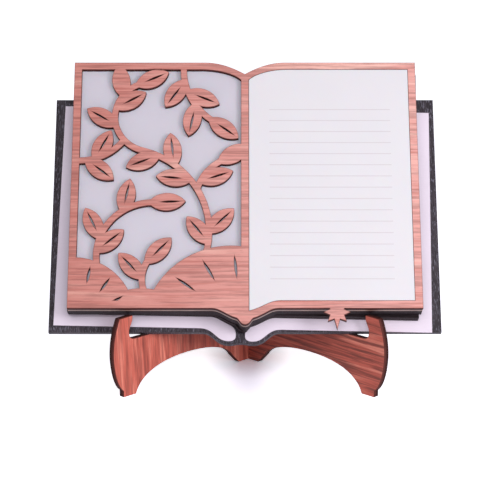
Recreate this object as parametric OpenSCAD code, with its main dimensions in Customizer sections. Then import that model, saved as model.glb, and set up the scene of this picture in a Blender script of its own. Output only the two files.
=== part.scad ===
// Book lamp: an open book of flat wood and acrylic layers, lit from inside, that leans on a stand of
// two crossed planks. The origin is on the floor under the middle of the planks' crossing, the reader
// is on the -Y side and the book's pages face the reader and lean back.

/* [Book cover] */
// Width of the cover
cover_w = 300; // [290:1:330]
// Height of the cover along its own plane
cover_h = 192; // [184:1:205]
// Thickness of the cover
cover_t = 5; // [3:0.5:8]
// How far the spine's bump hangs below the cover's lower edge
bump_h = 9.5; // [7:0.5:14]
// Half the width of the bump where it leaves the lower edge
bump_half = 29; // [24:1:36]
// Depth of the dip in the middle of the bump
bump_dip = 1; // [0.4:0.1:2]
// How far the bump lies to the left of the cover's middle
bump_left = 3; // [0:0.5:6]

/* [White panels] */
// Thickness of each white panel
panel_t = 1; // [0.6:0.2:2]
// Cover left bare beside the panels, at each side
panel_side = 5.5; // [4:0.5:9]
// Cover left bare above the panels
panel_top = 8.5; // [5:0.5:14]
// Cover left bare below the panels
panel_low = 2.5; // [2:0.5:5]
// Gap between the two panels at the spine
panel_gap = 7; // [4:0.2:9]
// How far that gap lies to the left of the gutter
gap_left = 1.6; // [0:0.2:2]
// Half the width of the panels' lobes at the spine
lobe_half = 30.5; // [27:0.5:36]
// Turn of the panels and the rear frame, clockwise as the reader sees them
core_turn = 1.15; // [0:0.05:1.2]

/* [Page block] */
// Cover left bare beside the page block, at each side
page_side = 16.25; // [12:0.25:22]
// Height of the page block
page_h = 201; // [192:1:212]
// Height of the block's lower edge above the cover's lower edge
page_rise = 11.5; // [10:0.5:15]
// Thickness of the wooden front plate
plate_t = 4; // [3:0.5:6]
// Thickness of the opal diffuser
diffuser_t = 4; // [3:0.5:6]
// Thickness of the black front frame
ring_front_t = 10; // [8:0.5:14]
// Thickness of the black rear frame
ring_rear_t = 8; // [6:0.5:12]
// Width of the frames' walls
ring_wall = 12; // [9:0.5:15]
// Width of the frames' rib behind the gutter
ring_rib = 10; // [8:0.5:14]
// Width of the plate's border round each page
border = 6; // [5:0.5:8]
// Width of the bar between the pages
gutter_bar = 6; // [4:0.5:9]
// Depth of the notch where the pages meet, at the top
notch_h = 9.8; // [7:0.2:13]
// Half the width of that notch
notch_half = 31; // [24:1:38]
// Drop of the page curl at the bottom, down to the nose
curl_h = 7.6; // [5:0.1:9]
// Half the width of the page curl at the bottom
curl_half = 25; // [20:1:32]
// Length of the rounded nose below the page curl
nose_h = 5; // [3:0.2:6]
// Half the width of the nose
nose_half = 6.2; // [5:0.2:8]
// Clearance round the white page in its window
page_gap = 0.15; // [0.1:0.05:0.4]

/* [Star] */
// Distance of the star to the right of the gutter
star_x = 69; // [50:1:100]
// Length of the star's long lower ray, from its middle
star_long = 13.5; // [11:0.5:18]
// Length of the star's other rays
star_ray = 10; // [8:0.5:12]
// Radius of the star's inner corners
star_in = 5.7; // [4:0.1:7]
// Depth of the star's middle below the block's lower edge
star_low = 3; // [2:0.5:4]

/* [Leaf fretwork] */
// Width of the stems
stem_w = 5; // [3.6:0.2:6]
// Length of a leaf
leaf_l = 29; // [25:0.5:31]
// Width of a leaf
leaf_w = 14.4; // [12:0.2:16]
// Angle of a leaf from its stem
leaf_turn = 46; // [35:1:60]
// Width of the slit cut along a leaf
slit_w = 1.5; // [0.8:0.1:2]

/* [Stand] */
// Lean of the book back from upright, in degrees
lean = 32.4; // [28:0.2:36]
// Thickness of the planks
plank_t = 5; // [4:0.5:7]
// Distance forward from the crossing to the cover's lower back edge
seat_y = 80.3; // [72:0.1:90]
// Height of the notch floor that carries the cover
seat_z = 44.5; // [38:0.5:52]
// How far the book stands to the left of the crossing
book_left = 3; // [0:0.5:6]
// Free length of the notch in front of the cover
notch_play = 8; // [6:0.5:12]
// Width of the hook at its top
hook_w = 13; // [10:0.5:16]
// Length of each foot along the plank
foot_len = 12.5; // [9:0.5:16]
// Height of the upright step above each foot
step_h = 5; // [3:0.5:8]
// Height of the arch between the front foot and the crossing
arch_h = 21.4; // [16:0.2:26]
// Half the length of the foot under the crossing
mid_foot = 13.5; // [10:0.5:16]
// Distance back from the crossing to the end of the rear foot
rear_len = 88; // [78:1:100]
// Height of the arch between the crossing and the rear foot
rear_arch_h = 18; // [14:0.5:24]
// Height of the planks' top
peak_z = 152; // [140:1:160]

/* [Light and power] */
// Number of light strips behind each page
strip_count = 3; // [3:1:3]
// Distance of the outer strips' middle from the hollow's lower and upper wall
strip_edge = 24.25; // [23.5:0.25:28]
// Space left in the hollow at each end of a strip
strip_space = 6.4; // [6:0.1:9]
// Width of a strip
strip_w = 8; // [6:0.5:10]
// Thickness of a strip's board
strip_t = 0.6; // [0.4:0.1:1]
// Number of lights on a strip
led_count = 6; // [4:1:8]
// Side of a light
led_w = 5; // [4:0.5:5]
// Height of a light above the board
led_t = 1.6; // [1:0.2:2.4]
// Radius of a wire
wire_r = 0.6; // [0.4:0.1:0.8]
// Distance of the socket's and the switch's middle from the hollow's outer wall
power_in = 16.8; // [16:0.1:22]
// Height of the socket above the cover's lower edge
socket_y = 33; // [32:0.5:34]
// Radius of the socket's threaded barrel
socket_r = 3.9; // [3.6:0.1:4.4]
// Radius of the socket's hole for the plug
plug_r = 2.9; // [2.6:0.1:3.2]
// Radius of the socket's middle pin
pin_r = 1.05; // [0.8:0.05:1.3]
// Width of the switch's rocker
rocker_w = 10; // [8:0.5:12]
// Length of the switch's rocker
rocker_l = 14.8; // [13:0.2:16]
// Tilt of the rocker to each side
rocker_tilt = 8; // [5:0.5:9]
// Radius of the rocker's pivot pins
pivot_r = 1.25; // [1:0.05:1.5]
// Radius of a cover screw
screw_r = 1.5; // [1.25:0.05:2]

/* [Hidden] */
$fn = 64;

wood = [0.84, 0.56, 0.50];
plank_wood = [0.66, 0.34, 0.27];
black = [0.17, 0.15, 0.17];
white = [0.93, 0.91, 0.94];
opal = [0.84, 0.79, 0.84];
metal = [0.75, 0.75, 0.76];
board = [0.95, 0.93, 0.85];
copper = [0.72, 0.16, 0.13];

page_w = cover_w - 2 * page_side;

// Layers of the book, from its back face towards the reader
panel_z = cover_t;
rear_z = panel_z + panel_t;
front_z = rear_z + ring_rear_t;
diffuser_z = front_z + ring_front_t;
plate_z = diffuser_z + diffuser_t;

// Clearances
seat_gap = 0.2;
hook_gap = 0.2;
slot_gap = 0.1;
lap_gap = 0.15;
hole_gap = 0.1;
fit_gap = 0.05;
cut = 1;

// The frames' hollow stays behind the cover, so that the cover closes it
cavity_low = page_rise + ring_wall;
cavity_top = cover_h - panel_top - 7.5;
cavity_side = page_w / 2 - ring_wall;
core_y = (panel_low + cover_h - panel_top) / 2;
strip_step = (cavity_top - cavity_low - 2 * strip_edge) / (strip_count - 1);
strip_x = (ring_rib / 2 + cavity_side) / 2;
strip_l = cavity_side - ring_rib / 2 - 2 * strip_space;
power_x = cavity_side - power_in;

function bez(p, n) = [for (i = [0 : n - 1]) let (t = i / n, u = 1 - t)
    u * u * u * p[0] + 3 * u * u * t * p[1] + 3 * u * t * t * p[2] + t * t * t * p[3]];
function flip(pts) = [for (i = [len(pts) - 1 : -1 : 0]) [-pts[i][0], pts[i][1]]];
function polar(c, r, a) = c + r * [cos(a), sin(a)];

// Right half of the page block, from the nose at the bottom up to the notch at the top
page_half = concat(
    bez([[0, -curl_h - nose_h], [nose_half * 0.6, -curl_h - nose_h],
        [nose_half * 0.7, -curl_h - nose_h * 0.2], [nose_half, -curl_h]], 8),
    bez([[nose_half, -curl_h], [curl_half * 0.58, -curl_h * 0.68],
        [curl_half * 0.75, 0], [curl_half, 0]], 8),
    [[curl_half, 0], [page_w / 2, 0], [page_w / 2, page_h]],
    bez([[notch_half, page_h], [notch_half * 0.65, page_h],
        [notch_half * 0.32, page_h - notch_h * 0.41], [0, page_h - notch_h]], 10));

module page_outline()
    polygon(concat(page_half, [[0, page_h - notch_h]],
        flip([for (i = [1 : len(page_half) - 1]) page_half[i]])));

// Opening over one page, drawn for the right page; inset draws the white page that fills it
module page_window(inset = 0) {
    in = gutter_bar / 2 + inset;
    low = border + inset;
    out = page_w / 2 - border - inset;
    top = page_h - border - inset;
    polygon(concat(
        bez([[in, 4 + inset - border], [curl_half * 0.54, 6.5 + inset - border],
            [curl_half * 0.7, low], [curl_half + 2, low]], 8),
        [[curl_half + 2, low], [out, low], [out, top]],
        bez([[notch_half + 2, top], [notch_half * 0.65, top],
            [notch_half * 0.25, top - notch_h * 0.4], [in, top - notch_h + 1]], 10),
        [[in, top - notch_h + 1]]));
}

module cover_outline() {
    half = concat(
        bez([[0, bump_dip - bump_h], [4, bump_dip - bump_h], [5, -bump_h], [9, -bump_h]], 5),
        bez([[9, -bump_h], [bump_half * 0.68, -bump_h], [bump_half * 0.74, 0], [bump_half, 0]], 9),
        [[bump_half, 0]]);
    shift = [-bump_left, 0];
    polygon(concat([for (p = half) p + shift],
        [[cover_w / 2, 0], [cover_w / 2, cover_h], [-cover_w / 2, cover_h], [-cover_w / 2, 0]],
        [for (p = flip([for (i = [1 : len(half) - 1]) half[i]])) p + shift]));
}

// White panel of the right page, whose rounded lobe follows the spine's bump; shift moves its inner edge
module panel_outline(shift) translate([shift, 0]) {
    in = panel_gap / 2;
    lobe = bump_h - 2.2;
    side = cover_w / 2 - panel_side - shift;
    neck = in + 8.5;
    step = page_rise - 4;
    polygon(concat(
        bez([[in, -lobe + 4], [in, -lobe + 1.2], [in + 2.4, -lobe], [in + 6, -lobe]], 6),
        bez([[in + 6, -lobe], [lobe_half * 0.61, -lobe], [lobe_half * 0.66, panel_low],
            [lobe_half, panel_low]], 10),
        [[lobe_half, panel_low], [side, panel_low],
            [side, cover_h - panel_top], [neck, cover_h - panel_top]],
        bez([[neck, step], [in + 3, step - 2.3], [in, step - 5], [in, step - 9]], 8),
        [[in, step - 9]]));
}

// Both frames have the block's outline and one hollow behind each page
module frame_outline() difference() {
    page_outline();
    for (side = [0, 1]) mirror([side, 0])
        translate([ring_rib / 2, ring_wall])
            square([cavity_side - ring_rib / 2, cavity_top - cavity_low]);
}

// Where the book stands: its own frame has X to the right, Y up the page and Z towards the reader
module book() translate([-book_left, -seat_y, seat_z + seat_gap]) rotate([90 - lean, 0, 0]) children();
module core() translate([0, core_y]) rotate(-core_turn) translate([0, -core_y]) children();
module layer(z, t) translate([0, 0, z]) linear_extrude(t) children();

/* Leaf fretwork of the left page: two mounds, and stems that curve up from them with leaves */
win_l = -page_w / 2 + border;
win_w = page_w / 2 - border - gutter_bar / 2;
win_h = page_h - 2 * border;
function at(fx, fy) = [win_l + fx * win_w, border + fy * win_h];

// Middle, radius, first and last angle of each stem, its leaves with a slit and those without
climb = [at(0.26, 0.29), win_w * 0.545, -28, 76];
curl_r = win_w * 0.235;
STEMS = [
    [climb[0], climb[1], climb[2], climb[3],
     [[0.2, 1], [0.27, -1], [0.64, 1], [0.78, -1], [0.9, 1]], []],
    [polar(climb[0], climb[1] + curl_r, climb[3]), curl_r, climb[3] + 180, climb[3] + 38,
     [[0.44, 1], [0.64, -1], [1, 0]], [[0.8, 1]]],
    [at(0.46, 0.19), win_w * 0.34, 206, 92, [[0.27, -1], [0.4, 1], [0.73, 1], [1, 0]], []],
    [at(1.06, 1), win_w * 0.42, 176, 234, [[0.26, -1], [0.44, 1], [0.67, -1], [1, 0]], []],
    [at(0, 0.82), win_w * 0.34, -94, -36.5, [[0.35, 1], [0.21, -1]], []],
    [at(1.02, 0.42), win_w * 0.3, 165, 120, [[0.24, -1]], [[1, 0]]],
    [at(0.62, 0.09), win_w * 0.22, 215, 150, [[0.58, 1], [1, -0.3]], []]];
// Middle and radius of each mound, and the angle of the first of its three slits
MOUNDS = [[at(-0.02, -0.07), win_w * 0.38, 20], [at(0.94, -0.12), win_w * 0.53, 84]];
BANK = [at(0.4, -0.2), win_w * 0.38];

module leaf(l, w) {
    r = (l * l + w * w) / (4 * w);
    intersection() {
        translate([l / 2, r - w / 2]) circle(r);
        translate([l / 2, w / 2 - r]) circle(r);
    }
}

module stem(c, r, a, b) translate(c) intersection() {
    difference() {
        circle(r + stem_w / 2);
        circle(r - stem_w / 2);
    }
    polygon(concat([[0, 0]], [for (i = [0 : 4]) polar([0, 0], 2 * r, a + (b - a) * i / 4)]));
}

// Places of the leaves in a list, each by its share of the stem's run and the side it leans to
module along_stem(s, leaves) {
    way = s[3] > s[2] ? 90 : -90;
    for (l = leaves) let (a = s[2] + (s[3] - s[2]) * l[0])
        translate(polar(s[0], s[1], a)) rotate(a + way + l[1] * leaf_turn) children();
}

module vine() {
    for (m = concat(MOUNDS, [BANK])) translate(m[0]) circle(m[1]);
    for (s = STEMS) {
        stem(s[0], s[1], s[2], s[3]);
        along_stem(s, concat(s[4], s[5])) translate([-stem_w / 2, 0]) leaf(leaf_l, leaf_w);
    }
}

module vine_slits() {
    for (s = STEMS) along_stem(s, s[4])
        translate([leaf_l * 0.24, 0]) leaf(leaf_l * 0.52, slit_w);
    for (m = MOUNDS, i = [0 : 2]) let (a = m[2] + 24 * i)
        translate(polar(m[0], m[1] * 0.62, a)) rotate(a + 12) leaf(m[1] * 0.26, slit_w * 1.3);
}

module star() {
    rays = [for (i = [0 : 7]) i == 6 ? star_long : star_ray];
    translate([star_x, -star_low]) polygon([for (i = [0 : 15])
        polar([0, 0], i % 2 == 0 ? rays[i / 2] : star_in, i * 22.5)]);
}

module front_plate() color(wood) book() layer(plate_z, plate_t) translate([0, page_rise]) {
    difference() {
        union() {
            page_outline();
            star();
        }
        page_window();
        difference() {
            mirror([1, 0]) page_window();
            vine();
        }
        intersection() {
            mirror([1, 0]) page_window();
            vine_slits();
        }
    }
}

module right_page() color(white) book() layer(plate_z, plate_t)
    translate([0, page_rise]) page_window(page_gap);

module page_diffuser() color(opal) book() layer(diffuser_z, diffuser_t)
    translate([0, page_rise]) page_outline();

module frame_front() color(black) book() layer(front_z, ring_front_t)
    translate([0, page_rise]) frame_outline();

module frame_rear() color(black) book() core() difference() {
    layer(rear_z, ring_rear_t) translate([0, page_rise]) frame_outline();
    for_screws() translate([0, 0, rear_z - cut])
        cylinder(h = screw_len - rear_z + cut + 0.5, r = screw_r + fit_gap);
    // Pass for the wires through the rib, in the upper strips' row
    translate([-ring_rib / 2 - cut, row_y(strip_count) - tap - wire_r - 0.4, rear_z - cut])
        cube([ring_rib + 2 * cut, 2 * (tap + wire_r + 0.4), wire_z + wire_r + 0.4 - rear_z + cut]);
}

module white_panel(side) color(white) book() difference() {
    core() difference() {
        layer(panel_z, panel_t) mirror([side, 0]) panel_outline(gap_left * (2 * side - 1));
        for_screws() translate([0, 0, panel_z - cut])
            cylinder(h = panel_t + 2 * cut, r = screw_r + hole_gap);
    }
    power_holes();
}
module white_panel_left() white_panel(1);
module white_panel_right() white_panel(0);

module cover_plate() color(black) book() difference() {
    layer(0, cover_t) cover_outline();
    power_holes();
    core() for_screws() {
        translate([0, 0, -cut]) cylinder(h = cover_t + 2 * cut, r = screw_r + hole_gap);
        translate([0, 0, -fit_gap]) cylinder(h = head_h, r1 = head_r + hole_gap, r2 = screw_r + hole_gap);
    }
}

// Screws hold the cover and the panels to the rear frame
screw_len = rear_z + ring_rear_t - 1;
head_r = 2 * screw_r;
head_h = 1.2 * screw_r;
module for_screws()
    for (x = [-1, 1], y = [page_rise + ring_wall / 2, (page_rise + ring_wall / 2 + cavity_top + 4) / 2,
        cavity_top + 4])
        translate([x * (page_w - ring_wall) / 2, y]) children();

module cover_screws() color(metal) book() core() for_screws() difference() {
    union() {
        cylinder(h = head_h, r1 = head_r, r2 = screw_r);
        cylinder(h = screw_len - 2, r = screw_r);
        translate([0, 0, screw_len - 2]) cylinder(h = 2, r1 = screw_r, r2 = 0.3);
    }
    for (a = [0, 90]) rotate(a) translate([-head_r * 0.6, -0.35, -cut]) cube([head_r * 1.2, 0.7, cut + 0.8]);
}

// Holes for the socket and the switch, through the cover and the panel behind the right page
switch_y = (row_y(1) + row_y(2)) / 2;
switch_w = rocker_w + 2.8;
switch_l = rocker_l + 4;
module power_holes() {
    translate([power_x, socket_y, -cut]) cylinder(h = rear_z + 2 * cut, r = socket_r + hole_gap);
    translate([power_x - switch_w / 2 - hole_gap, switch_y - switch_l / 2 - hole_gap, -cut])
        cube([switch_w + 2 * hole_gap, switch_l + 2 * hole_gap, rear_z + 2 * cut]);
}

function row_y(i) = cavity_low + strip_edge + (i - 1) * strip_step;
module led_strip(side, i) color(board) book() core()
    translate([side * strip_x, row_y(i), rear_z]) {
        translate([-strip_l / 2, -strip_w / 2, 0]) cube([strip_l, strip_w, strip_t]);
        for (k = [0 : led_count - 1])
            translate([(k - (led_count - 1) / 2) * strip_l / led_count - led_w / 2, -led_w / 2, 0])
                cube([led_w, led_w, strip_t + led_t]);
    }
module led_strip_left_1() led_strip(-1, 1);
module led_strip_left_2() led_strip(-1, 2);
module led_strip_left_3() led_strip(-1, 3);
module led_strip_right_1() led_strip(1, 1);
module led_strip_right_2() led_strip(1, 2);
module led_strip_right_3() led_strip(1, 3);

// A wire of straight runs from point to point, with round corners and ends
module wire(points) {
    for (i = [1 : len(points) - 1]) {
        a = points[i - 1];
        d = points[i] - a;
        translate(a) rotate([0, acos(d[2] / norm(d)), atan2(d[1], d[0])]) cylinder(h = norm(d), r = wire_r);
    }
    for (p = points) translate(p) sphere(wire_r);
}

// Wires lie on the strips' boards, over the two solder pads at each end of a strip
wire_z = rear_z + strip_t + wire_r + fit_gap;
pad_reach = 2;
tap = strip_w / 4;
strip_in = strip_x - strip_l / 2;
strip_out = strip_x + strip_l / 2;

// Two wires, one inside the other, join strip i to the next one up, at the strips' end x
module strip_link(side, i, x, way) for (k = [0, 1]) {
    start = side * (x - way * pad_reach);
    turn = side * (x + way * (2 + 1.8 * k));
    low = row_y(i) + (k == 0 ? tap : -tap);
    high = row_y(i + 1) + (k == 0 ? -tap : tap);
    wire([[start, low, wire_z], [turn, low, wire_z], [turn, high, wire_z], [start, high, wire_z]]);
}

module strip_wires() color(copper) book() core() {
    for (side = [-1, 1]) {
        strip_link(side, 1, strip_in, -1);
        strip_link(side, 2, strip_out, 1);
    }
    for (y = [-tap, tap])
        wire([for (side = [-1, 1]) [side * (strip_in + pad_reach), row_y(strip_count) + y, wire_z]]);
}

// The socket feeds the right page's lowest strip: one wire runs there, the other one by way of the switch
tag_z = rear_z + 8;
tag_r = socket_r - 0.9;
tag_gap = wire_r + fit_gap;
function turned(x, y) = [x * cos(core_turn) + (y - core_y) * sin(core_turn),
    core_y - x * sin(core_turn) + (y - core_y) * cos(core_turn)];
module feed_wires() color(copper) book() {
    wire([[power_x, socket_y + tag_r + tag_gap, tag_z],
        [power_x, switch_y - tab_y - tab_t / 2 - tag_gap, tag_z]]);
    feed([power_x + tag_r + tag_gap, socket_y], -tap);
    feed([power_x + tab_w / 2 + tag_gap, switch_y + tab_y], tap);
}
module feed(start, y) {
    pad = turned(strip_out - pad_reach, row_y(1) + y);
    turn = strip_out + 2.6;
    wire([[start[0], start[1], tag_z], [turn, start[1], tag_z], [turn, pad[1], tag_z],
        [turn, pad[1], wire_z], [pad[0], pad[1], wire_z]]);
}

module power_socket() color(black) book() translate([power_x, socket_y, 0]) difference() {
    union() {
        translate([0, 0, -1.5]) cylinder(h = 1.5, r = socket_r + 1.6);
        cylinder(h = rear_z + 5, r = socket_r);
        translate([0, 0, rear_z + 5]) cylinder(h = 4, r = tag_r);
    }
    difference() {
        translate([0, 0, -1.5 - cut]) cylinder(h = 9.5 + cut, r = plug_r);
        translate([0, 0, -0.5]) cylinder(h = 9, r = pin_r);
    }
}

module power_socket_nut() color(metal) book() translate([power_x, socket_y, rear_z]) difference() {
    cylinder(h = 2.5, r = socket_r + 1.9, $fn = 6);
    translate([0, 0, -cut]) cylinder(h = 2.5 + 2 * cut, r = socket_r + fit_gap);
}

// The rocker turns in the switch's walls on two pins, inside the cover's thickness
pivot_z = 2;
pivot_len = 1;
pocket_gap = 0.2;
bezel_t = 2;
tab_w = 4.8;
tab_t = 0.8;
tab_y = 5;
module switch_body() color(black) book() translate([power_x, switch_y, 0]) difference() {
    union() {
        translate([-switch_w / 2 - 1.2, -switch_l / 2 - 1.2, -bezel_t])
            cube([switch_w + 2.4, switch_l + 2.4, bezel_t]);
        translate([-switch_w / 2, -switch_l / 2, 0]) cube([switch_w, switch_l, rear_z + 7]);
        for (y = [-tab_y, tab_y]) translate([-tab_w / 2, y - tab_t / 2, rear_z + 7]) cube([tab_w, tab_t, 5]);
    }
    translate([-rocker_w / 2 - pocket_gap, -switch_l / 2 + 1.3, -bezel_t - cut])
        cube([rocker_w + 2 * pocket_gap, switch_l - 2.6, bezel_t + pivot_z + 3.5 + cut]);
    translate([-rocker_w / 2 - pivot_len - 0.1, 0, pivot_z]) rotate([0, 90, 0])
        cylinder(h = rocker_w + 2 * pivot_len + 0.2, r = pivot_r + fit_gap);
}

module switch_rocker() color([0.28, 0.27, 0.29]) book() translate([power_x, switch_y, pivot_z])
    rotate([-rocker_tilt, 0, 0]) {
        half = rocker_l / 2;
        translate([-rocker_w / 2, 0, 0]) rotate([90, 0, 90]) linear_extrude(rocker_w)
            polygon([[-half, -5.1], [0, -4], [half, -5.1], [half - 0.5, -1], [half / 2, 2.2],
                [-half / 2, 2.2], [0.5 - half, -1]]);
        translate([-rocker_w / 2 - pivot_len, 0, 0]) rotate([0, 90, 0])
            cylinder(h = rocker_w + 2 * pivot_len, r = pivot_r);
    }

/* Stand: one plank runs from the front left foot to the back right, the other one across it */

// Distances along a plank count from the crossing, positive towards the front foot
seat_s = sqrt(2) * seat_y - plank_t / 2;
hook_in = seat_s + sqrt(2) * cover_t * cos(lean) + plank_t + notch_play;
hook_top_in = hook_in - 3;
hook_top_out = hook_top_in + hook_w;
foot_out = hook_in + hook_w - 6;
bulge = hook_in + hook_w + 3.5;
mid_leg = 7;
lap_z = peak_z / 2;
seat_top = seat_z + seat_gap;

// Line of the cover's back along a plank's front face, at height z
function back_s(z) = sqrt(2) * (seat_y - tan(lean) * (z - seat_top) - seat_gap / cos(lean)) - plank_t / 2;
// Height of the page block's lower face over a plank's rear face, at distance s from the crossing
function block_z(s) = seat_top + page_rise / cos(lean)
    + tan(lean) * ((s - plank_t / 2) / sqrt(2) - seat_y);
hook_z = block_z(hook_top_in) - hook_gap;

plank_points = concat(
    [[-rear_len, 0], [foot_len - rear_len, 0]],
    bez([[foot_len - rear_len, 0], [foot_len - rear_len + 4, rear_arch_h * 0.55],
        [-rear_len * 0.68, rear_arch_h], [-rear_len * 0.52, rear_arch_h]], 8),
    bez([[-rear_len * 0.52, rear_arch_h], [-rear_len * 0.38, rear_arch_h],
        [-mid_foot - 11, rear_arch_h * 0.85], [-mid_foot - mid_leg, mid_leg]], 8),
    [[-mid_foot - mid_leg, mid_leg], [-mid_foot, 0], [mid_foot, 0]],
    bez([[mid_foot + mid_leg, mid_leg], [mid_foot + mid_leg + 5.5, arch_h * 0.78],
        [mid_foot + 32, arch_h], [foot_out - 67, arch_h]], 10),
    bez([[foot_out - 67, arch_h], [foot_out - 31, arch_h],
        [foot_out - foot_len - 3.5, arch_h * 0.5], [foot_out - foot_len, 0]], 12),
    [[foot_out - foot_len, 0], [foot_out, 0]],
    bez([[foot_out, step_h], [foot_out + 6, step_h + 4], [bulge - 0.5, step_h + 17],
        [bulge, seat_z * 0.75]], 8),
    bez([[bulge, seat_z * 0.75], [bulge, seat_z], [bulge - 2, seat_z + 8],
        [hook_top_out, hook_z - 0.4]], 8),
    [[hook_top_out, hook_z - 0.4], [hook_top_in, hook_z]],
    bez([[hook_top_in, hook_z - 2], [hook_top_in, seat_z + 12], [hook_in + 2, seat_z + 9],
        [hook_in + 0.5, seat_z + 4]], 6),
    bez([[hook_in + 0.5, seat_z + 4], [hook_in, seat_z + 1], [hook_in - 2, seat_z],
        [hook_in - 6, seat_z]], 6),
    [[hook_in - 6, seat_z], [back_s(seat_z), seat_z], [back_s(peak_z - 12), peak_z - 12]],
    bez([[back_s(peak_z - 12), peak_z - 12], [back_s(peak_z - 1), peak_z - 1],
        [-17, peak_z + 6], [-18, peak_z - 18]], 10),
    bez([[-18, peak_z - 18], [-22, peak_z * 0.45], [-rear_len - 3, peak_z * 0.42],
        [-rear_len - 3, step_h + 14]], 14),
    bez([[-rear_len - 3, step_h + 14], [-rear_len - 3, step_h + 8], [-rear_len - 1.5, step_h + 2],
        [-rear_len, step_h]], 4),
    [[-rear_len, step_h]]);

// The plank stands in its own plane, across the direction that it runs in
module plank(turn, slot_low, slot_high) rotate(turn) difference() {
    rotate([90, 0, 0]) translate([0, 0, -plank_t / 2]) linear_extrude(plank_t) polygon(plank_points);
    translate([-plank_t / 2 - slot_gap, -plank_t / 2 - cut, slot_low])
        cube([plank_t + 2 * slot_gap, plank_t + 2 * cut, slot_high - slot_low]);
}

module stand_plank_left() color(plank_wood) plank(225, lap_z - lap_gap, peak_z + cut);
module stand_plank_right() color(plank_wood) plank(-45, -cut, lap_z + lap_gap);

stand_plank_left();
stand_plank_right();
front_plate();
right_page();
page_diffuser();
frame_front();
frame_rear();
white_panel_left();
white_panel_right();
cover_plate();
led_strip_left_1();
led_strip_left_2();
led_strip_left_3();
led_strip_right_1();
led_strip_right_2();
led_strip_right_3();
strip_wires();
feed_wires();
power_socket();
power_socket_nut();
switch_body();
switch_rocker();
cover_screws();
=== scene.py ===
"""Blender scene of a book lamp: an open book of plywood and acrylic layers on a crossed-plank stand.

Laid out as a Blender add-on and run as a script. Sizes are in metres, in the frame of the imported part:
+Z up, -Y towards the reader, the origin on the floor under the planks' crossing.
"""

import math

import bmesh
import bpy
from mathutils import Euler, Matrix, Vector


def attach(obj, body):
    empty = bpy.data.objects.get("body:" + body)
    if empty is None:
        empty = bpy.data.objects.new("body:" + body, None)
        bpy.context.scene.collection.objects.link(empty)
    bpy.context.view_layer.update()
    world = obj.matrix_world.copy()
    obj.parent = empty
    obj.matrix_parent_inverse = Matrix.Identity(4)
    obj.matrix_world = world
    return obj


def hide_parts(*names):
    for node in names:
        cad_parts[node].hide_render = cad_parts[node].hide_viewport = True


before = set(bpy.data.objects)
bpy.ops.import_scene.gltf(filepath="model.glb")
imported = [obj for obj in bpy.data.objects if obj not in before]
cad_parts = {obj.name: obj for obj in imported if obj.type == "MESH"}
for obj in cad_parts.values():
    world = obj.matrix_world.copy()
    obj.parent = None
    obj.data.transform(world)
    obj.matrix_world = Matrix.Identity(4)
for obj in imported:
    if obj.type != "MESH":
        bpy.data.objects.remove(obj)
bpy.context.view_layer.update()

bl_info = {
    "name": "Book lamp",
    "version": (1, 0, 0),
    "blender": (4, 5, 0),
    "location": "View3D > Sidebar > Book lamp",
    "description": "Builds the looks of a book lamp on its crossed-plank stand",
    "category": "Object",
}

# The book's own frame, as in the part's source: X right, Y up the page, Z towards the reader.
# The core is the rear frame and the white panels, turned a little about their middle.
LEAN = math.radians(32.4)
BOOK_ORIGIN = Vector((-0.003, -0.0803, 0.0447))
BOOK_TURN = Euler((math.pi / 2 - LEAN, 0, 0))
BOOK = Matrix.Translation(BOOK_ORIGIN) @ BOOK_TURN.to_matrix().to_4x4()
CORE_TURN = math.radians(-1.15)
CORE_Y = 0.093
CORE_CENTRE = Matrix.Translation((0, CORE_Y, 0))
CORE = BOOK @ CORE_CENTRE @ Matrix.Rotation(CORE_TURN, 4, "Z") @ CORE_CENTRE.inverted()
NOWHERE = Vector((0, 0, 0))
NO_TURN = (0, 0, 0)
LEFT_TURN = Euler((0, 0, math.radians(225)))
RIGHT_TURN = Euler((0, 0, math.radians(-45)))

# Layers of the book above the cover's back face, and sizes within them
REAR_Z = 0.006
DIFFUSER_Z = 0.024
PLATE_Z = 0.028
PLATE_T = 0.004
PLATE_REACH = 0.13
PAGE_RISE = 0.0115
PLANK_T = 0.005
STRIP_X = 0.063375
STRIP_L = 0.10395
STRIP_ROWS = (0.04775, 0.09975, 0.15175)
SOCKET_AT = (0.10495, 0.033)
SWITCH_AT = (0.10495, 0.07375)
MARK_Y = 0.0042

# Engraved lines of the right page, from the gutter and from the page's lower edge
LINE_PITCH = 0.0092
LINES_ACROSS = (0.019, 0.113)
LINES_UP = (0.02, 0.168)

# Tints of the veneers' veins against their dark tone, and the painted light across the front plate:
# painted shade towards its left edge, a painted sheen towards its right
VEIN_TINT = (0.66, 0.86, 0.92)
PLATE_SHADE_AND_SHEEN = ((0.85, 0.78, 0.77), (1.12, 1.28, 1.34))

# The floor as the camera sees it: how far it is overexposed, and where its shadow shows
FLOOR_TINT = (1.55, 1.62, 1.8)
SHADOW_AT = (-0.001, -0.01, 0)
SHADOW_SIZE = (0.018, 0.1, 1)

# Angles under which faces count as one, and over which edges count as sharp
FLAT = math.radians(0.6)
WALL_FLAT = math.radians(0.5)
SHARP = math.radians(32)

CAMERA_AT = (-0.0068, -1.3252, 0.4293)
CAMERA_TILT = 0.2443
CAMERA_LENS = 127.5


def rgb(red, green, blue):
    """Linear colour of an sRGB one whose channels run from 0 to 255."""
    def linear(c):
        c /= 255
        return c / 12.92 if c <= 0.04045 else ((c + 0.055) / 1.055) ** 2.4
    return (linear(red), linear(green), linear(blue))


def colour(label, help_text, value):
    return bpy.props.FloatVectorProperty(
        name=label, description=help_text, subtype="COLOR", size=3, min=0, max=1, default=value)


def length(label, help_text, value, low, high):
    return bpy.props.FloatProperty(
        name=label, description=help_text, unit="LENGTH", default=value, min=low, max=high, precision=5)


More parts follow.
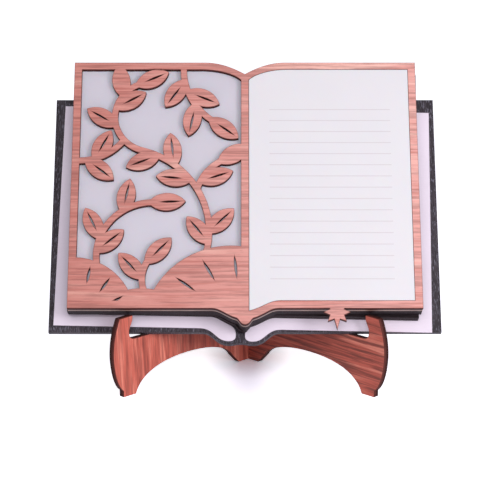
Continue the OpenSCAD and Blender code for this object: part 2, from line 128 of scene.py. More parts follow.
class BookLampWood(bpy.types.PropertyGroup):
    """Colours and edges of the plywood pieces."""

    plank: colour("Stand plywood", "Middle tone of the stand's face veneer", rgb(204, 104, 88))
    plank_dark: colour("Stand streaks", "Tone of the stand's dark streaks", rgb(144, 66, 55))
    plank_light: colour("Stand highlights", "Tone of the stand's pale streaks", rgb(236, 146, 127))
    page: colour("Front veneer", "Middle tone of the front plate's veneer", rgb(224, 152, 142))
    page_dark: colour("Front streaks", "Tone of the front plate's dark streaks", rgb(193, 112, 101))
    page_light: colour("Front highlights", "Tone of the front plate's pale streaks", rgb(239, 178, 165))
    char: colour("Burnt edge", "Tone of the laser-cut edges", rgb(62, 30, 27))
    scorch: length("Scorch width", "Width of the brown line along each cut edge", 0.0005, 0.0002, 0.002)
    edge_round: length("Edge rounding", "Width of the rounding of every sheet's edges",
                       0.00025, 0.0001, 0.0005)


class BookLampFinish(bpy.types.PropertyGroup):
    """Colours of the stained, plastic and metal pieces."""

    black: colour("Black stain", "Tone of the two stained frames", rgb(25, 13, 17))
    cover: colour("Cover stain", "Tone of the stained cover", rgb(58, 52, 58))
    white_page: colour("White page", "Tone of the right page", rgb(231, 228, 233))
    opal: colour("Opal sheet", "Tone of the diffuser", rgb(211, 206, 218))
    opal_rim: colour("Opal rim", "Tone of the diffuser's cut edge", rgb(226, 200, 180))
    panel: colour("White panel", "Tone of the panels round the block", rgb(243, 230, 246))
    plastic: colour("Black plastic", "Tone of the socket and the switch", rgb(38, 38, 40))
    zinc: colour("Zinc", "Tone of the screws and the nut", rgb(196, 197, 202))
    wire: colour("Insulation", "Tone of the wires", rgb(168, 40, 34))


class BookLampStage(bpy.types.PropertyGroup):
    """Floor, lights and camera."""

    floor: colour("Floor", "Tone of the floor", rgb(246, 243, 247))
    key: bpy.props.FloatProperty(name="Key light", description="Power of the near light at the right",
                                 unit="POWER", default=6.3, min=0)
    front: bpy.props.FloatProperty(name="Front light", description="Power of the light over the reader",
                                   unit="POWER", default=8.6, min=0)
    sky: bpy.props.FloatProperty(name="Sky", description="Strength of the even light all round",
                                 default=0.26, min=0, max=2)


# Materials


class Shader:
    """A new material, with short calls for its nodes."""

    def __init__(self, name):
        self.material = bpy.data.materials.new(name)
        self.material.use_nodes = True
        self.nodes = self.material.node_tree.nodes
        self.links = self.material.node_tree.links
        self.surface = self.nodes["Principled BSDF"]

    def node(self, kind, **settings):
        made = self.nodes.new(kind)
        for key, value in settings.items():
            setattr(made, key, value)
        return made

    def feed(self, socket, value):
        if isinstance(value, bpy.types.NodeSocket):
            self.links.new(value, socket)
        else:
            socket.default_value = value

    def place(self, location, turn, size):
        """Object coordinates in a piece's own frame, with one unit as long as size along each axis."""
        mapping = self.node("ShaderNodeMapping", vector_type="TEXTURE")
        self.links.new(self.node("ShaderNodeTexCoord").outputs["Object"], mapping.inputs["Vector"])
        mapping.inputs["Location"].default_value = location
        mapping.inputs["Rotation"].default_value = turn
        mapping.inputs["Scale"].default_value = size
        return mapping.outputs["Vector"]

    def grain(self, location, turn, along, length_along, width):
        """Object coordinates stretched along one axis of the piece."""
        return self.place(location, turn, tuple(length_along if i == along else width for i in range(3)))

    def even(self, size):
        """Object coordinates with one unit as long as size in every direction."""
        return self.place(NOWHERE, NO_TURN, (size,) * 3)

    def axes(self, location, turn):
        """The three coordinates of a piece's own frame, in metres."""
        made = self.node("ShaderNodeSeparateXYZ")
        self.links.new(self.place(location, turn, (1, 1, 1)), made.inputs[0])
        return made.outputs

    def noise(self, vector, detail=3.0, roughness=0.5, distortion=0.0):
        made = self.node("ShaderNodeTexNoise")
        self.links.new(vector, made.inputs["Vector"])
        made.inputs["Scale"].default_value = 1.0
        made.inputs["Detail"].default_value = detail
        made.inputs["Roughness"].default_value = roughness
        made.inputs["Distortion"].default_value = distortion
        return made.outputs["Fac"]

    def math(self, operation, a, b=0.0):
        made = self.node("ShaderNodeMath", operation=operation)
        self.feed(made.inputs[0], a)
        self.feed(made.inputs[1], b)
        return made.outputs[0]

    def span(self, value, low, high, out_low=0.0, out_high=1.0):
        made = self.node("ShaderNodeMapRange")
        for socket, item in zip(made.inputs, (value, low, high, out_low, out_high)):
            self.feed(socket, item)
        return made.outputs[0]

    def ramp(self, value, stops):
        made = self.node("ShaderNodeValToRGB")
        elements = made.color_ramp.elements
        while len(elements) < len(stops):
            elements.new(0.5)
        for element, (position, tone) in zip(elements, stops):
            element.position = position
            element.color = (*tone, 1)
        self.links.new(value, made.inputs["Fac"])
        return made.outputs["Color"]

    def blend(self, factor, a, b, how="MIX"):
        made = self.node("ShaderNodeMix", data_type="RGBA", blend_type=how)
        self.feed(made.inputs[0], factor)
        for socket, value in ((made.inputs[6], a), (made.inputs[7], b)):
            self.feed(socket, (*value, 1) if isinstance(value, (tuple, list)) else value)
        return made.outputs[2]

    def bump(self, height, strength, distance):
        made = self.node("ShaderNodeBump")
        made.inputs["Strength"].default_value = strength
        made.inputs["Distance"].default_value = distance
        self.links.new(height, made.inputs["Height"])
        self.links.new(made.outputs["Normal"], self.surface.inputs["Normal"])

    def finish(self, base, roughness):
        self.feed(self.surface.inputs["Base Color"], base)
        self.feed(self.surface.inputs["Roughness"], roughness)
        return self.material


def shade(tone, factor):
    return tuple(min(1.0, c * factor) for c in tone)


def veneer(name, tones, location, turn, along, figure, swirl=1.0, painted_light_sides=None):
    """Face veneer whose grain runs along one axis of the piece: figure says how strong its dark bands are.

    The two tints, where they are given, paint light across the sheet from its left edge to its right:
    painted shade at the left and a painted sheen at the right.
    """
    s = Shader(name)
    dark, middle, light = tones
    bands = s.noise(s.grain(location, turn, along, 0.2, 0.017), 3, 0.55, 0.5 * swirl)
    rings = s.span(s.math("SINE", s.math("MULTIPLY", bands, 34 * swirl)), -1, 1)
    streaks = s.noise(s.grain(location, turn, along, 0.06, 0.0016), 4, 0.6)
    pores = s.noise(s.grain(location, turn, along, 0.007, 0.00028), 2, 0.5)
    tone = s.math("ADD", s.math("MULTIPLY", rings, 0.24), s.math("MULTIPLY", streaks, 0.5))
    tone = s.math("ADD", tone, s.math("MULTIPLY", bands, 0.36))
    base = s.ramp(tone, ((0.34, dark), (0.49, middle), (0.58, middle), (0.74, light)))
    veins = s.noise(s.grain(location, turn, along, 0.05, 0.0024), 4, 0.6, 0.25)
    umber = tuple(c * tint for c, tint in zip(dark, VEIN_TINT))
    base = s.blend(s.span(veins, 0.47, 0.6, 0, figure), base, umber)
    base = s.blend(s.span(pores, 0.6, 0.74, 0, 0.5), base, shade(dark, 0.62))
    # Painted light: painted shade darkens the sheet towards its left edge and a painted sheen pales it
    # towards its right
    if painted_light_sides:
        across = s.span(s.axes(location, turn)[0], -PLATE_REACH, PLATE_REACH)
        base = s.blend(1.0, base, s.blend(across, *painted_light_sides), "MULTIPLY")
    scorch = s.node("ShaderNodeAttribute", attribute_name="scorch").outputs["Fac"]
    smoke = s.math("MULTIPLY", scorch, s.span(streaks, 0.3, 0.7, 0.75, 1.0))
    base = s.blend(smoke, base, shade(dark, 0.3))
    s.bump(s.math("ADD", s.math("MULTIPLY", streaks, 0.4), s.math("MULTIPLY", pores, 0.6)), 0.25, 0.0003)
    s.surface.inputs["Specular IOR Level"].default_value = 0.35
    return s.finish(base, s.span(streaks, 0, 1, 0.5, 0.66))


def burnt_edge(name, tone, location, turn, through, start, thickness):
    """Laser-cut edge of a sheet: brown where the beam went in, near-black where it came out.

    The beam goes in at start on the axis through, and out after the thickness, which has its sign.
    """
    s = Shader(name)
    marks = s.noise(s.grain(location, turn, through, 0.012, 0.0007), 3, 0.6)
    patches = s.noise(s.place(location, turn, (0.011,) * 3), 2, 0.5)
    depth = s.span(s.axes(location, turn)[through], start, start + thickness)
    plies = s.ramp(depth, ((0.0, shade(tone, 2.6)), (0.3, shade(tone, 2.9)), (0.38, shade(tone, 1.3)),
                           (0.5, shade(tone, 1.5)), (0.62, shade(tone, 0.8)), (1.0, shade(tone, 0.45))))
    base = s.blend(s.span(marks, 0.4, 0.7, 0, 0.5), plies, shade(tone, 0.5))
    base = s.blend(s.span(patches, 0.4, 0.7, 0, 0.3), base, shade(tone, 1.9))
    s.bump(marks, 0.35, 0.0003)
    s.surface.inputs["Specular IOR Level"].default_value = 0.15
    return s.finish(base, 0.8)


def stained(name, tone, location, turn, along, fleck):
    """Black stain on plywood: the grain still shows as paler dashes, fleck says how strongly."""
    s = Shader(name)
    lines = s.noise(s.grain(location, turn, along, 0.014, 0.0009), 4, 0.65)
    clouds = s.noise(s.grain(location, turn, along, 0.05, 0.014), 3, 0.5, 0.3)
    pores = s.noise(s.grain(location, turn, along, 0.0045, 0.0007), 3, 0.6)
    base = s.ramp(s.math("ADD", s.math("MULTIPLY", lines, 0.7), s.math("MULTIPLY", clouds, 0.3)),
                  ((0.36, shade(tone, 0.45)), (0.5, tone), (0.66, shade(tone, 1.9))))
    base = s.blend(s.span(pores, 0.55, 0.7, 0, fleck), base, rgb(140, 137, 154))
    s.bump(s.math("ADD", lines, pores), 0.35, 0.0004)
    s.surface.inputs["Specular IOR Level"].default_value = 0.15
    return s.finish(base, s.span(lines, 0.2, 0.8, 0.5, 0.7))


def ruled_page(name, tone):
    """White acrylic page with faint engraved lines between its margins, and no words."""
    s = Shader(name)
    across, up, out = s.axes(BOOK_ORIGIN, BOOK_TURN)
    row = s.math("FRACT", s.math("DIVIDE", s.math("SUBTRACT", up, PAGE_RISE), LINE_PITCH))
    line = s.math("LESS_THAN", s.math("ABSOLUTE", s.math("SUBTRACT", row, 0.5)), 0.035)
    for value, start, (low, high) in ((across, 0, LINES_ACROSS), (up, PAGE_RISE, LINES_UP)):
        line = s.math("MULTIPLY", line, s.math("GREATER_THAN", value, start + low))
        line = s.math("MULTIPLY", line, s.math("LESS_THAN", value, start + high))
    line = s.math("MULTIPLY", line, s.math("GREATER_THAN", out, PLATE_Z + PLATE_T - 0.0002))
    clouds = s.noise(s.even(0.045), 2, 0.5)
    base = s.blend(s.span(clouds, 0.3, 0.7, 0, 0.5), tone, shade(tone, 0.965))
    base = s.blend(s.math("MULTIPLY", line, 0.34), base, rgb(186, 168, 176))
    s.bump(s.math("SUBTRACT", 1.0, line), 0.3, 0.0002)
    s.surface.inputs["Subsurface Weight"].default_value = 0.12
    s.surface.inputs["Subsurface Scale"].default_value = 0.004
    s.surface.inputs["Specular IOR Level"].default_value = 0.3
    return s.finish(base, 0.42)


def acrylic(name, tone, roughness, depth):
    """Cloudy acrylic whose light is scattered a little under its face."""
    s = Shader(name)
    clouds = s.noise(s.even(0.03), 3, 0.5)
    grit = s.noise(s.even(0.0006), 2, 0.5)
    base = s.blend(s.span(clouds, 0.3, 0.7, 0, 0.6), tone, shade(tone, 0.95))
    s.bump(grit, 0.08, 0.0002)
    s.surface.inputs["Subsurface Weight"].default_value = 0.15
    s.surface.inputs["Subsurface Scale"].default_value = depth
    return s.finish(base, s.span(grit, 0.2, 0.8, roughness - 0.05, roughness + 0.05))


def opal_rim(name, tone, char_and_shade):
    """Edge of the diffuser: clear with brown mottling in the middle, and darkened towards both of its
    faces with painted shade, where the front plate and the black frame shade it.
    """
    s = Shader(name)
    depth = s.span(s.axes(BOOK_ORIGIN, BOOK_TURN)[2], DIFFUSER_Z, PLATE_Z)
    smoke = s.noise(s.place(BOOK_ORIGIN, BOOK_TURN, (0.012, 0.012, 0.003)), 3, 0.6)
    clear = s.blend(s.span(smoke, 0.35, 0.65, 0.1, 0.55), tone, shade(char_and_shade, 3.2))
    # Painted shade along the rim's front, in the front plate's shadow
    base = s.blend(s.span(depth, 0.44, 0.58), clear, shade(char_and_shade, 1.2))
    # Painted shade along the rim's back, by the black frame behind it
    base = s.blend(s.span(depth, 0.2, 0.1), base, shade(char_and_shade, 1.2))
    s.bump(smoke, 0.1, 0.0002)
    return s.finish(base, 0.4)


def board(name, tone):
    """Matte white board with a faint fibre."""
    s = Shader(name)
    fibre = s.noise(s.grain(BOOK_ORIGIN, BOOK_TURN, 0, 0.006, 0.0009), 3, 0.55)
    clouds = s.noise(s.even(0.04), 2, 0.5)
    base = s.blend(s.span(clouds, 0.3, 0.7), tone, shade(tone, 0.94))
    base = s.blend(s.span(fibre, 0.35, 0.7, 0, 0.25), base, shade(tone, 0.9))
    s.bump(fibre, 0.12, 0.0002)
    return s.finish(base, 0.62)


def moulded(name, tone, roughness):
    """Moulded plastic with a fine spark-eroded texture."""
    s = Shader(name)
    grit = s.noise(s.even(0.0005), 2, 0.5)
    clouds = s.noise(s.even(0.009), 2, 0.5)
    base = s.blend(s.span(clouds, 0.3, 0.7), shade(tone, 0.85), shade(tone, 1.15))
    s.bump(grit, 0.15, 0.0001)
    return s.finish(base, s.span(clouds, 0.3, 0.7, roughness - 0.06, roughness + 0.06))


def marked_rocker(name, tone):
    """Glossy plastic with a pale bar on the rocker's upper half and a ring on its lower half."""
    s = Shader(name)
    right, up, out = s.axes(BOOK_ORIGIN, BOOK_TURN)
    across = s.math("SUBTRACT", right, SWITCH_AT[0])
    above = s.math("SUBTRACT", up, SWITCH_AT[1] + MARK_Y)
    below = s.math("SUBTRACT", up, SWITCH_AT[1] - MARK_Y)
    bar = s.math("MULTIPLY", s.math("LESS_THAN", s.math("ABSOLUTE", across), 0.0003),
                 s.math("LESS_THAN", s.math("ABSOLUTE", above), 0.0014))
    square = s.math("ADD", s.math("MULTIPLY", across, across), s.math("MULTIPLY", below, below))
    reach = s.math("SQRT", square)
    ring = s.math("LESS_THAN", s.math("ABSOLUTE", s.math("SUBTRACT", reach, 0.0013)), 0.00027)
    outside = s.math("LESS_THAN", out, 0.0)
    mark = s.math("MULTIPLY", s.math("MAXIMUM", bar, ring), outside)
    clouds = s.noise(s.even(0.006), 2, 0.5)
    base = s.blend(s.span(clouds, 0.3, 0.7), shade(tone, 0.9), shade(tone, 1.1))
    return s.finish(s.blend(mark, base, rgb(226, 226, 226)), s.span(clouds, 0.3, 0.7, 0.22, 0.3))


def plated(name, tone, roughness):
    """Plated metal with fine scratches and dull patches."""
    s = Shader(name)
    scratches = s.noise(s.grain(BOOK_ORIGIN, BOOK_TURN, 0, 0.004, 0.0003), 3, 0.6)
    patches = s.noise(s.even(0.003), 2, 0.5)
    base = s.blend(s.span(patches, 0.3, 0.7), shade(tone, 0.88), tone)
    s.surface.inputs["Metallic"].default_value = 1.0
    s.bump(scratches, 0.1, 0.0001)
    return s.finish(base, s.span(scratches, 0.2, 0.8, roughness - 0.08, roughness + 0.1))


# Pieces


def settings():
    return bpy.context.scene.book_lamp_wood, bpy.context.scene.book_lamp_finish


def merged_copy(node):
    """A bmesh of a CAD node with its triangles joined into whole faces."""
    bm = bmesh.new()
    bm.from_mesh(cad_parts[node].data)
    bmesh.ops.remove_doubles(bm, verts=bm.verts, dist=2e-6)
    bmesh.ops.dissolve_degenerate(bm, edges=bm.edges, dist=1e-6)
    return bm


def bevel(bm, edges, width, segments, clamp=True):
    bmesh.ops.bevel(bm, geom=edges, offset=width, offset_type="OFFSET", segments=segments, profile=0.5,
                    affect="EDGES", clamp_overlap=clamp, material=-1)


def bevel_sharp(bm, width, segments):
    sharp = [e for e in bm.edges if len(e.link_faces) == 2 and e.calc_face_angle(0) > SHARP]
    bevel(bm, sharp, width, segments)


def round_edges(bm, width, segments):
    """Rounds the sharp edges of a piece, its flat faces made whole first."""
    bmesh.ops.dissolve_limit(bm, angle_limit=FLAT, verts=bm.verts, edges=bm.edges, delimit={"NORMAL"})
    bevel_sharp(bm, width, segments)


def sheet_faces(bm, axis):
    return [f for f in bm.faces if abs(f.normal.dot(axis)) > 0.999]


def rimmed_sheet(bm, axis, width, rim):
    """Gives both faces of a flat sheet a narrow rim along every edge, then rounds the sheet's edges."""
    bm.normal_update()
    flat = set(sheet_faces(bm, axis))
    walls = [e for e in bm.edges if not any(f in flat for f in e.link_faces)]
    bmesh.ops.dissolve_limit(bm, angle_limit=WALL_FLAT, verts=[], edges=walls)
    scorch = bm.verts.layers.float.new("scorch")
    for vert in bm.verts:
        vert[scorch] = 1.0
    for side in (axis, -axis):
        middle = [f for f in bm.faces if f.normal.dot(side) > 0.999]
        bmesh.ops.inset_region(bm, faces=middle, thickness=rim, use_even_offset=True, use_boundary=True)
        middle = [f for f in middle if f.is_valid]
        inside = set(middle)
        border = [e for f in middle for e in f.edges if any(g not in inside for g in e.link_faces)]
        for edge in border:
            for vert in edge.verts:
                vert[scorch] = 0.0
        bmesh.ops.delete(bm, geom=middle, context="FACES_ONLY")
        loose = [e for e in bm.edges if not e.link_faces]
        bmesh.ops.delete(bm, geom=loose, context="EDGES")
        border = [e for e in border if e.is_valid]
        border = list(dict.fromkeys(border))
        bmesh.ops.triangle_fill(bm, use_beauty=True, use_dissolve=False, edges=border, normal=side)
    bm.normal_update()
    bevel_sharp(bm, width, 2)
    bm.normal_update()
    for face in bm.faces:
        face.material_index = 0 if abs(face.normal.dot(axis)) > 0.8 else 1


def finished(bm, name, body, materials, replaced):
    """Makes the piece from its bmesh, shades it, and hands it to the frame."""
    mesh = bpy.data.meshes.new(name)
    bm.to_mesh(mesh)
    bm.free()
    piece = bpy.data.objects.new(name, mesh)
    bpy.context.scene.collection.objects.link(piece)
    for material in materials:
        mesh.materials.append(material)
    mesh.shade_smooth()
    mesh.set_sharp_from_angle(angle=SHARP)
    weights = piece.modifiers.new("Face weights", "WEIGHTED_NORMAL")
    weights.keep_sharp = True
    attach(piece, body)
    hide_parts(*replaced)


def sheet_piece(node, body, axis, materials, width, scorch=0.0):
    """A flat sheet with rounded rims, face and cut-edge materials, and a scorched line where wanted."""
    bm = merged_copy(node)
    rimmed_sheet(bm, axis, width, max(scorch, 2 * width))
    finished(bm, node + "_shown", body, materials, (node,))


def book_axis(matrix=BOOK):
    return (matrix.to_3x3() @ Vector((0, 0, 1))).normalized()


class BOOKLAMP_OT_planks(bpy.types.Operator):
    """Dress the two planks of the stand"""

    bl_idname = "book_lamp.planks"
    bl_label = "Stand planks"

    def execute(self, context):
        wood, _ = settings()
        # The level is the sheet's tone against the middle one, and it is painted light: the left plank,
        # which faces the key light, is made paler, and the right one, which faces away from it, darker
        for node, body, turn, along, start, painted_light_level in (
                ("stand_plank_left", "stand_left", LEFT_TURN, 2, PLANK_T / 2, 1.08),
                ("stand_plank_right", "stand_right", RIGHT_TURN, 0, -PLANK_T / 2, 0.95)):
            tones = [shade(tone, painted_light_level) for tone in (wood.plank_dark, wood.plank, wood.plank_light)]
            grain_turn = Euler((0, math.radians(1 if along == 0 else 3), turn.z))
            figure = 0.9 if along == 0 else 0.45
            face = veneer(f"{node}_veneer", tones, NOWHERE, grain_turn, along, figure)
            edge = burnt_edge(f"{node}_edge", tuple(wood.char), NOWHERE, turn, 1, start, -2 * start)
            axis = turn.to_matrix() @ Vector((0, 1, 0))
            sheet_piece(node, body, axis, (face, edge), wood.edge_round, wood.scorch * 0.6)
        return {"FINISHED"}


class BOOKLAMP_OT_front(bpy.types.Operator):
    """Dress the cut wooden front plate"""

    bl_idname = "book_lamp.front"
    bl_label = "Front plate"

    def execute(self, context):
        wood, _ = settings()
        tones = (tuple(wood.page_dark), tuple(wood.page), tuple(wood.page_light))
        # The front veneer carries painted light: painted shade at its left, a painted sheen at its right
        face = veneer("front_veneer", tones, BOOK_ORIGIN, BOOK_TURN, 0, 0.55, 0.6, PLATE_SHADE_AND_SHEEN)
        edge = burnt_edge("front_edge", tuple(wood.char), BOOK_ORIGIN, BOOK_TURN, 2,
                          PLATE_Z + PLATE_T, -PLATE_T)
        sheet_piece("front_plate", "book", book_axis(), (face, edge), wood.edge_round,
                    wood.scorch)
        return {"FINISHED"}


class BOOKLAMP_OT_pages(bpy.types.Operator):
    """Dress the white page and the diffuser behind the front plate"""

    bl_idname = "book_lamp.pages"
    bl_label = "White page and diffuser"

    def execute(self, context):
        wood, finish = settings()
        page = ruled_page("white_page", tuple(finish.white_page))
        page_edge = acrylic("white_page_edge", tuple(finish.white_page), 0.3, 0.004)
        opal = acrylic("opal_face", tuple(finish.opal), 0.55, 0.006)
        # The burnt-edge tone also gives the painted shade along the diffuser's rim
        opal_edge = opal_rim("opal_edge", tuple(finish.opal_rim), tuple(wood.char))
        sheet_piece("right_page", "book", book_axis(), (page, page_edge), wood.edge_round)
        sheet_piece("page_diffuser", "book", book_axis(), (opal, opal_edge), wood.edge_round)
        return {"FINISHED"}


class BOOKLAMP_OT_frames(bpy.types.Operator):
    """Dress the two black frames"""

    bl_idname = "book_lamp.frames"
    bl_label = "Black frames"

    def execute(self, context):
        wood, finish = settings()
        black = tuple(finish.black)
        for node, matrix in (("frame_front", BOOK), ("frame_rear", CORE)):
            turn = matrix.to_euler()
            face = stained(f"{node}_face", black, matrix.translation, turn, 0, 0.05)
            edge = stained(f"{node}_edge", black, matrix.translation, turn, 2, 0.05)
            sheet_piece(node, "book", book_axis(matrix), (face, edge), wood.edge_round)
        return {"FINISHED"}


class BOOKLAMP_OT_panels(bpy.types.Operator):
    """Dress the two white panels"""

    bl_idname = "book_lamp.panels"
    bl_label = "White panels"

    def execute(self, context):
        wood, finish = settings()
        face = board("panel_face", tuple(finish.panel))
        edge = board("panel_edge", shade(tuple(finish.panel), 0.92))
        for node in ("white_panel_left", "white_panel_right"):
            sheet_piece(node, "book", book_axis(CORE), (face, edge), wood.edge_round)
        return {"FINISHED"}


class BOOKLAMP_OT_cover(bpy.types.Operator):
    """Dress the black cover"""

    bl_idname = "book_lamp.cover"
    bl_label = "Cover"

    def execute(self, context):
        wood, finish = settings()
        tone = tuple(finish.cover)
        face = stained("cover_face", tone, BOOK_ORIGIN, BOOK_TURN, 1, 0.8)
        edge = stained("cover_edge", shade(tone, 1.05), BOOK_ORIGIN, BOOK_TURN, 2, 0.65)
        sheet_piece("cover_plate", "book", book_axis(), (face, edge), wood.edge_round)
        return {"FINISHED"}


class BOOKLAMP_OT_lights(bpy.types.Operator):
    """Dress the light strips and their wires"""

    bl_idname = "book_lamp.lights"
    bl_label = "Light strips and wires"

    def execute(self, context):
        _, finish = settings()
        white = moulded("strip_board", rgb(236, 234, 226), 0.4)
        phosphor = moulded("light_phosphor", rgb(240, 206, 96), 0.25)
        pad = plated("solder_pad", rgb(216, 176, 110), 0.3)
        axis = book_axis(CORE)
        for side, sign in (("left", -1), ("right", 1)):
            for i, row in enumerate(STRIP_ROWS, 1):
                node = f"led_strip_{side}_{i}"
                bm = merged_copy(node)
                round_edges(bm, 0.00008, 1)
                bm.normal_update()
                origin = CORE @ Vector((sign * STRIP_X, row, REAR_Z))
                for face in bm.faces:
                    high = (face.calc_center_median() - origin).dot(axis) > 0.0021
                    face.material_index = 1 if high and face.normal.dot(axis) > 0.99 else 0
                for end in (-1, 1):
                    pad_x = sign * STRIP_X + end * (STRIP_L / 2 - 0.0016)
                    for tap in (-0.002, 0.002):
                        add_pad(bm, CORE @ Vector((pad_x, row + tap, REAR_Z + 0.0006)), CORE.to_3x3())
                finished(bm, node + "_shown", "book", (white, phosphor, pad), (node,))
        red = moulded("red_insulation", tuple(finish.wire), 0.4)
        for node in ("strip_wires", "feed_wires"):
            finished(merged_copy(node), node + "_shown", "book", (red,), (node,))
        return {"FINISHED"}


def add_pad(bm, spot, turn):
    """Solder pad on a strip's board: a thin plate with rounded corners."""
    before = set(bm.faces)
    made = bmesh.ops.create_cube(bm, size=1.0, matrix=Matrix.Translation(spot) @ turn.to_4x4()
                                 @ Matrix.Diagonal((0.0024, 0.0022, 0.00006, 1)))
    edges = dict.fromkeys(e for v in made["verts"] for e in v.link_edges)
    bevel(bm, list(edges), 0.00002, 1, clamp=False)
    for face in set(bm.faces) - before:
        face.material_index = 2


class BOOKLAMP_OT_power(bpy.types.Operator):
    """Dress the power socket, its nut and the rocker switch"""

    bl_idname = "book_lamp.power"
    bl_label = "Socket and switch"

    def execute(self, context):
        _, finish = settings()
        plastic = moulded("socket_plastic", tuple(finish.plastic), 0.42)
        pin = plated("socket_pin", rgb(205, 206, 210), 0.2)
        bm = merged_copy("power_socket")
        round_edges(bm, 0.00015, 2)
        centre = BOOK @ Vector((*SOCKET_AT, 0))
        axis = book_axis()
        for face in bm.faces:
            away = face.calc_center_median() - centre
            face.material_index = 1 if (away - axis * away.dot(axis)).length < 0.0012 else 0
        finished(bm, "power_socket_shown", "book", (plastic, pin), ("power_socket",))
        zinc = plated("zinc_plate", tuple(finish.zinc), 0.32)
        bm = merged_copy("power_socket_nut")
        round_edges(bm, 0.0002, 2)
        finished(bm, "power_socket_nut_shown", "book", (zinc,), ("power_socket_nut",))
        bm = merged_copy("switch_body")
        round_edges(bm, 0.0003, 3)
        finished(bm, "switch_body_shown", "book", (plastic,), ("switch_body",))
        rocker = marked_rocker("rocker_gloss", tuple(finish.plastic))
        bm = merged_copy("switch_rocker")
        round_edges(bm, 0.00035, 3)
        finished(bm, "switch_rocker_shown", "rocker", (rocker,), ("switch_rocker",))
        return {"FINISHED"}


class BOOKLAMP_OT_screws(bpy.types.Operator):
    """Dress the screws in the cover's back"""

    bl_idname = "book_lamp.screws"
    bl_label = "Cover screws"

    def execute(self, context):
        _, finish = settings()
        zinc = plated("screw_zinc", tuple(finish.zinc), 0.3)
        bm = merged_copy("cover_screws")
        round_edges(bm, 0.0001, 2)
        finished(bm, "cover_screws_shown", "book", (zinc,), ("cover_screws",))
        return {"FINISHED"}


class BOOKLAMP_OT_stage(bpy.types.Operator):
    """Make the floor, the lights and the camera"""

    bl_idname = "book_lamp.stage"
    bl_label = "Floor, lights and camera"

    def execute(self, context):
        stage = context.scene.book_lamp_stage
        bm = bmesh.new()
        bmesh.ops.create_grid(bm, x_segments=1, y_segments=1, size=6)
        mesh = bpy.data.meshes.new("floor")
        bm.to_mesh(mesh)
        bm.free()
        floor = bpy.data.objects.new("floor", mesh)
        context.scene.collection.objects.link(floor)
        mesh.materials.append(floor_material("floor_white", tuple(stage.floor)))
        for name, power, size, at in (("key_light", stage.key, 0.6, (0.8, -0.9, 0.5)),
                                      ("front_light", stage.front, 0.8, (0, -1.3, 0.9))):
            add_light(context.scene, name, power, size, at, (0, -0.03, 0.12), (1.0, 0.99, 1.0))
        context.scene.world = sky_world("plain_sky", stage.sky)
        camera = bpy.data.cameras.new("camera")
        camera.sensor_width = 36
        camera.lens = CAMERA_LENS
        camera.clip_start = 0.05
        camera.clip_end = 30
        holder = bpy.data.objects.new("camera", camera)
        holder.location = CAMERA_AT
        holder.rotation_euler = (math.pi / 2 - CAMERA_TILT, 0, 0)
        context.scene.collection.objects.link(holder)
        context.scene.camera = holder
        context.scene.view_settings.view_transform = "Standard"
        return {"FINISHED"}


def add_light(scene, name, power, size, at, aim, tone):
    light = bpy.data.lights.new(name, "AREA")
    light.shape = "DISK"
    light.size = size
    light.energy = power
    light.color = tone
    holder = bpy.data.objects.new(name, light)
    holder.location = at
    holder.rotation_euler = (Vector(aim) - Vector(at)).to_track_quat("-Z", "Y").to_euler()
    scene.collection.objects.link(holder)


def seen_rays(nodes, links):
    """1 for the rays in which the background shows: the camera's, and those through gloss and glass."""
    path = nodes.new("ShaderNodeLightPath")
    total = path.outputs["Is Camera Ray"]
    for kind in ("Is Glossy Ray", "Is Transmission Ray"):
        made = nodes.new("ShaderNodeMath")
        made.operation = "MAXIMUM"
        links.new(total, made.inputs[0])
        links.new(path.outputs[kind], made.inputs[1])
        total = made.outputs[0]
    return total


def floor_material(name, tone):
    """Pale floor seen as overexposed: only the shadow by the stand's middle foot keeps it from white."""
    s = Shader(name)
    seen = seen_rays(s.nodes, s.links)
    diffuse = s.node("ShaderNodeBsdfDiffuse")
    shown = tuple(c * tint for c, tint in zip(tone, FLOOR_TINT))
    s.feed(diffuse.inputs["Color"], s.blend(seen, tone, shown))
    reach = s.node("ShaderNodeVectorMath", operation="LENGTH")
    s.links.new(s.place(SHADOW_AT, NO_TURN, SHADOW_SIZE), reach.inputs[0])
    glow = s.node("ShaderNodeEmission")
    strength = s.span(reach.outputs["Value"], 0.35, 2, 0.1, 0.76)
    s.feed(glow.inputs["Strength"], s.math("MULTIPLY", seen, strength))
    both = s.node("ShaderNodeAddShader")
    s.links.new(diffuse.outputs[0], both.inputs[0])
    s.links.new(glow.outputs[0], both.inputs[1])
    s.links.new(both.outputs[0], s.nodes["Material Output"].inputs["Surface"])
    return s.material


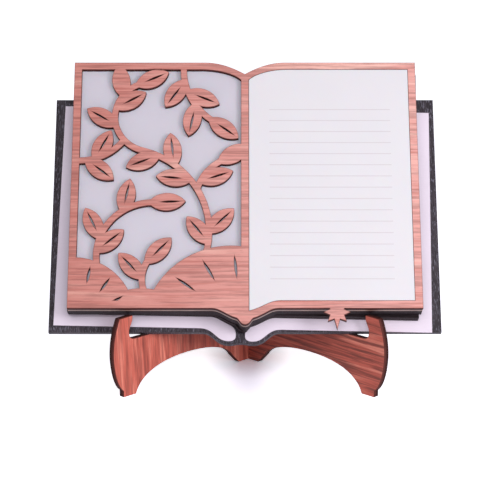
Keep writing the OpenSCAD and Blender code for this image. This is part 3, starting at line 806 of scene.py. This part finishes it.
def sky_world(name, strength):
    """Even light all round, seen as white by the camera."""
    world = bpy.data.worlds.new(name)
    world.use_nodes = True
    nodes, links = world.node_tree.nodes, world.node_tree.links
    light = nodes["Background"]
    light.inputs["Color"].default_value = (0.97, 0.96, 1.0, 1)
    light.inputs["Strength"].default_value = strength
    white = nodes.new("ShaderNodeBackground")
    white.inputs["Color"].default_value = (1, 1, 1, 1)
    white.inputs["Strength"].default_value = 1.0
    mix = nodes.new("ShaderNodeMixShader")
    links.new(seen_rays(nodes, links), mix.inputs[0])
    links.new(light.outputs[0], mix.inputs[1])
    links.new(white.outputs[0], mix.inputs[2])
    links.new(mix.outputs[0], nodes["World Output"].inputs["Surface"])
    return world


OPERATORS = (
    BOOKLAMP_OT_stage,
    BOOKLAMP_OT_planks,
    BOOKLAMP_OT_front,
    BOOKLAMP_OT_pages,
    BOOKLAMP_OT_frames,
    BOOKLAMP_OT_panels,
    BOOKLAMP_OT_cover,
    BOOKLAMP_OT_lights,
    BOOKLAMP_OT_power,
    BOOKLAMP_OT_screws,
)


class BOOKLAMP_PT_panel(bpy.types.Panel):
    """Sidebar panel with the lamp's settings and steps"""

    bl_idname = "BOOKLAMP_PT_panel"
    bl_label = "Book lamp"
    bl_space_type = "VIEW_3D"
    bl_region_type = "UI"
    bl_category = "Book lamp"

    def draw(self, context):
        layout = self.layout
        for name in ("book_lamp_wood", "book_lamp_finish", "book_lamp_stage"):
            group = getattr(context.scene, name)
            box = layout.box()
            for key in group.__annotations__:
                box.prop(group, key)
        for operator in OPERATORS:
            layout.operator(operator.bl_idname)


GROUPS = {
    "book_lamp_wood": BookLampWood,
    "book_lamp_finish": BookLampFinish,
    "book_lamp_stage": BookLampStage,
}


def register():
    for item in (*GROUPS.values(), *OPERATORS, BOOKLAMP_PT_panel):
        bpy.utils.register_class(item)
    for name, group in GROUPS.items():
        setattr(bpy.types.Scene, name, bpy.props.PointerProperty(type=group))


def unregister():
    for name in GROUPS:
        delattr(bpy.types.Scene, name)
    for item in (BOOKLAMP_PT_panel, *reversed(OPERATORS), *reversed(GROUPS.values())):
        bpy.utils.unregister_class(item)


def main():
    register()
    for operator in OPERATORS:
        group, step = operator.bl_idname.split(".")
        getattr(getattr(bpy.ops, group), step)()


if __name__ == "__main__":
    main()
